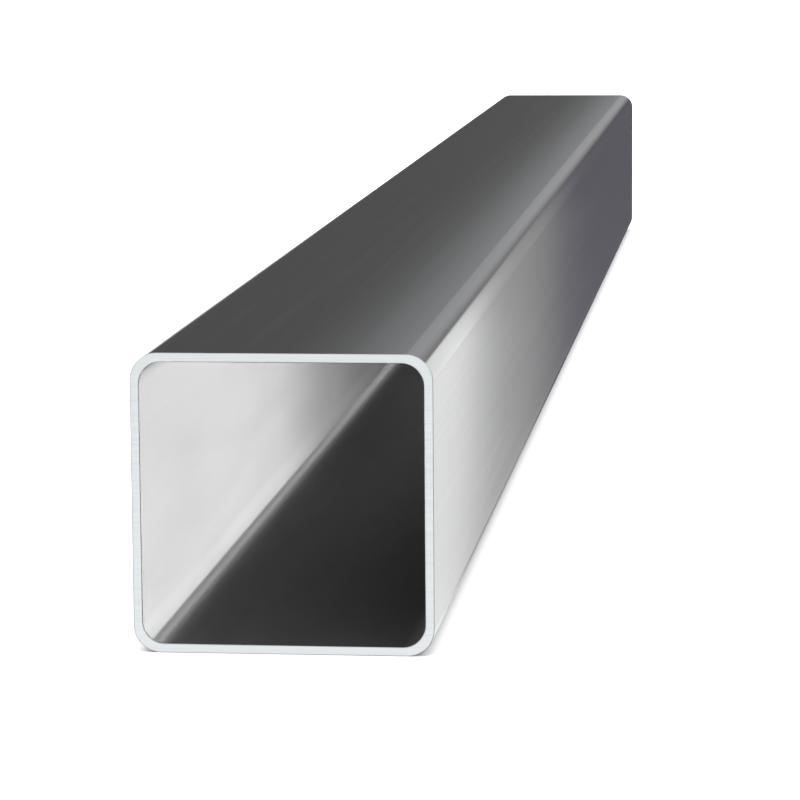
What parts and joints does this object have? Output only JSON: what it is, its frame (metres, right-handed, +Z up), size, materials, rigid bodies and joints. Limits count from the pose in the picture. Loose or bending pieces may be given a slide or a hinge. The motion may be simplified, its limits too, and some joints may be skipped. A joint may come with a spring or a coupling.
{
  "type": "square metal tube",
  "caption": "Straight cold-formed square steel tube with rounded corners and sawn, deburred open ends, for frames, posts and brackets.",
  "frame": {"origin": "on the resting plane, under the middle of the tube, midway between the side walls and midway between the ends", "axes": "+Y runs along the tube from the near sawn end to the far one, +Z is up out of the top wall, +X is out of the right wall"},
  "size_m": [0.1, 1.5, 0.1],
  "materials": {
    "steel": "clean cold-rolled mill finish, satin, with bright sawn ends"
  },
  "bodies": {
    "root": {"square_tube": "steel"}
  },
  "joints": []
}
